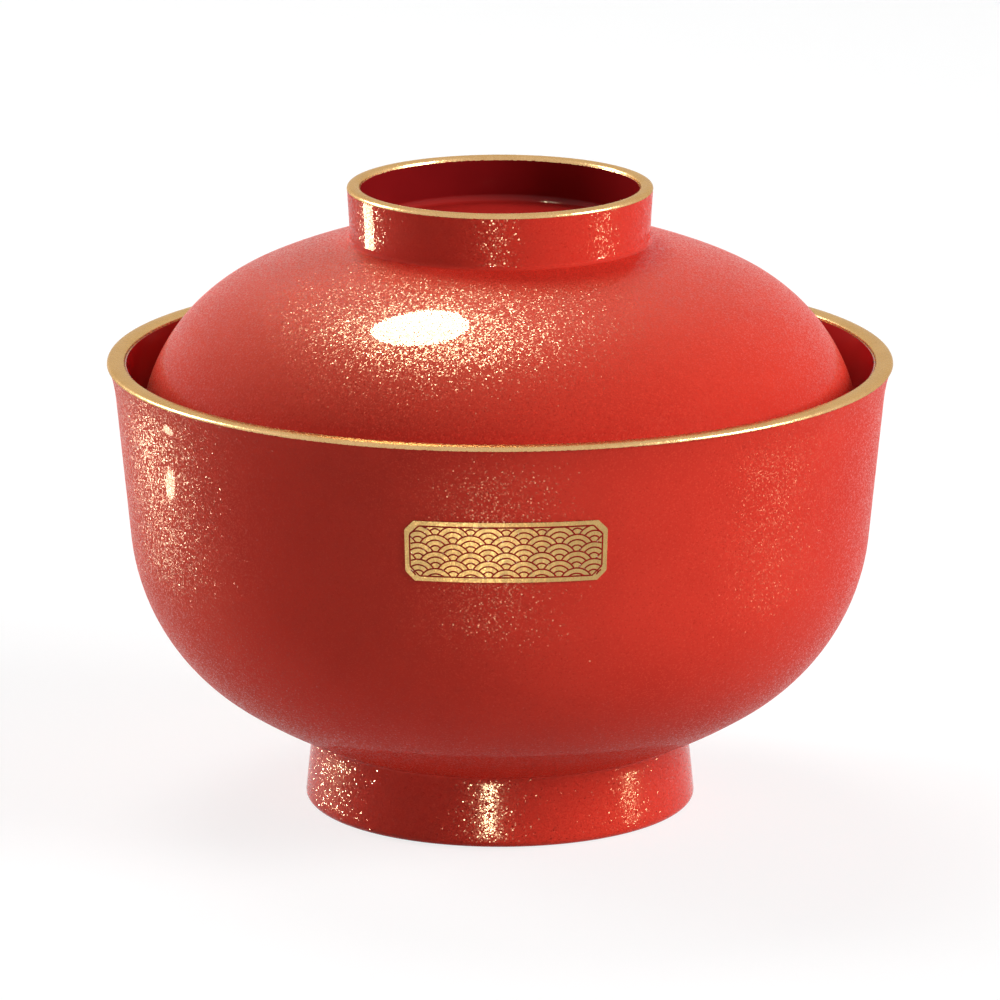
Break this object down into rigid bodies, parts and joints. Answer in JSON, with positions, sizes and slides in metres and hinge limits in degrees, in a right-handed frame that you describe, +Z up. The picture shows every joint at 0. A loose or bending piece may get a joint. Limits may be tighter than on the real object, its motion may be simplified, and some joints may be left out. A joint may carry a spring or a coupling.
{
  "type": "lidded soup bowl",
  "caption": "Round red lacquer soup bowl on a foot ring, with a domed lid that sits inside the lip and lifts off by a ring grip; gold edges and a gold front panel.",
  "frame": {"origin": "centre of the foot's standing face, on the table", "axes": "+Z up along the axis of the bowl and the lid; the gold panel is at the front, which faces -Y"},
  "size_m": [0.12, 0.12, 0.0963],
  "materials": {
    "turned_wood": "bare turned wood, hidden under the coats",
    "flake_lacquer": "glossy red lacquer with fine gold flakes",
    "plain_lacquer": "glossy plain red lacquer",
    "gold": "gold powder in clear lacquer, soft metallic gloss"
  },
  "bodies": {
    "bowl": {"bowl_core": "turned_wood", "bowl_coat": "flake_lacquer", "bowl_lining": "plain_lacquer", "rim_band": "gold", "foot_ring": "turned_wood", "foot_coat": "flake_lacquer", "base_coat": "plain_lacquer", "gold_panel": "gold"},
    "lid": {"lid_core": "turned_wood", "lid_coat": "flake_lacquer", "lid_lining": "plain_lacquer", "grip_ring": "turned_wood", "grip_coat": "flake_lacquer", "grip_lining": "plain_lacquer", "grip_band": "gold"}
  },
  "joints": [
    {"name": "lid_lift", "type": "slide", "parent": "bowl", "child": "lid", "axis": [0, 0, 1], "range_m": [0, 0.1]}
  ]
}
